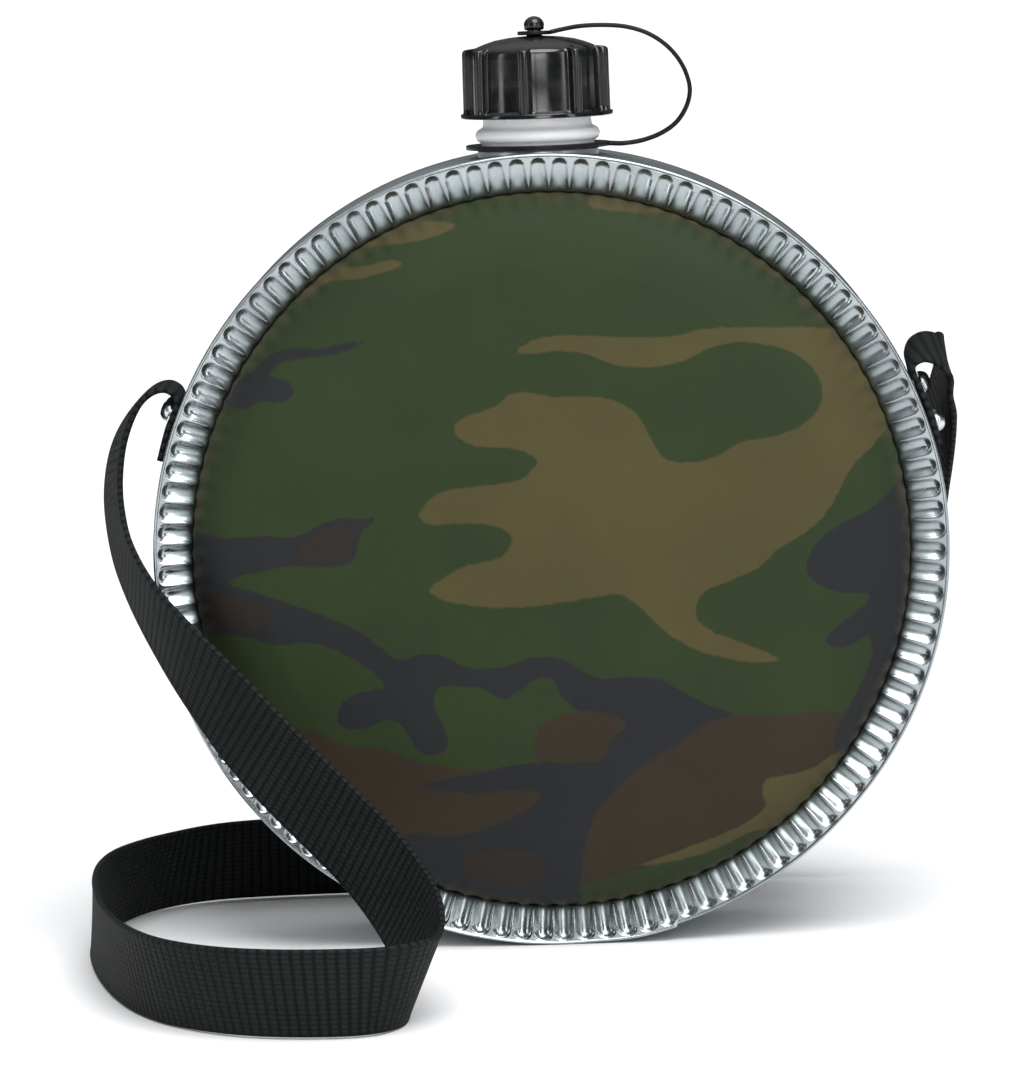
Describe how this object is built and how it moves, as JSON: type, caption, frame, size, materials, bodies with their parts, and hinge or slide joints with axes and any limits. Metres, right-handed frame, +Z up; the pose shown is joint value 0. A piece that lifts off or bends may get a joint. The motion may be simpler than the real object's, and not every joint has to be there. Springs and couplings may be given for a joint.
{
  "type": "canteen",
  "caption": "Round flat water canteen with padded camouflage fabric faces in a crimped metal band, ribbed screw cap on a tether, and a riveted webbing shoulder strap.",
  "frame": {"origin": "where the lowest flat of the metal band meets the surface the canteen stands on, midway between its faces", "axes": "+Z up through the neck, -Y out of the front face, +X to the right seen from the front"},
  "size_m": [0.2441, 0.2151, 0.2527],
  "materials": {
    "polyethylene": "translucent natural polyethylene, satin",
    "felt": "soft felt padding",
    "camouflage_cloth": "woven four-colour camouflage cloth, stretched smooth",
    "bright_tinplate": "bright tinplate, crimped flutes",
    "rivet_steel": "bright plated steel",
    "cap_plastic": "glossy black moulded plastic",
    "liner_plastic": "soft foamed polyethylene",
    "tether_plastic": "flexible black moulded plastic, satin",
    "webbing": "black woven webbing"
  },
  "bodies": {
    "canteen_body": {"bottle": "polyethylene", "front_pad": "felt", "rear_pad": "felt", "front_cover": "camouflage_cloth", "rear_cover": "camouflage_cloth", "rim_band": "bright_tinplate", "neck_collar": "bright_tinplate", "shoulder_strap": "webbing", "rivet_left_front": "rivet_steel", "rivet_left_rear": "rivet_steel", "rivet_right_upper": "rivet_steel", "rivet_right_lower": "rivet_steel", "washer_left_front": "rivet_steel", "washer_left_rear": "rivet_steel", "washer_right_upper": "rivet_steel", "washer_right_lower": "rivet_steel"},
    "tether_ring_body": {"tether_ring": "tether_plastic", "tether_arm": "tether_plastic"},
    "tether_eye_body": {"tether_eye": "tether_plastic"},
    "cap_seal": {"cap_liner": "liner_plastic"},
    "cap": {"cap_shell": "cap_plastic"}
  },
  "joints": [
    {"name": "tether_swivel", "type": "hinge", "parent": "canteen_body", "child": "tether_ring_body", "pos_m": [0, 0, 0.2172], "axis": [0, 0, 1], "continuous": true},
    {"name": "tether_lift", "type": "slide", "parent": "tether_ring_body", "child": "tether_eye_body", "axis": [0, 0, 1], "range_m": [0, 0.0201], "deforming": ["tether_arm"]},
    {"name": "cap_lift", "type": "slide", "parent": "canteen_body", "child": "cap_seal", "axis": [0, 0, 1], "range_m": [0, 0.02]},
    {"name": "cap_turn", "type": "hinge", "parent": "cap_seal", "child": "cap", "pos_m": [0, 0, 0.234], "axis": [0, 0, 1], "range_deg": [0, 1441]}
  ],
  "couplings": [
    {"joint": "cap_turn", "follows": "cap_lift", "rad_per_m": 1256.6},
    {"joint": "tether_lift", "follows": "cap_lift", "ratio": 1}
  ]
}
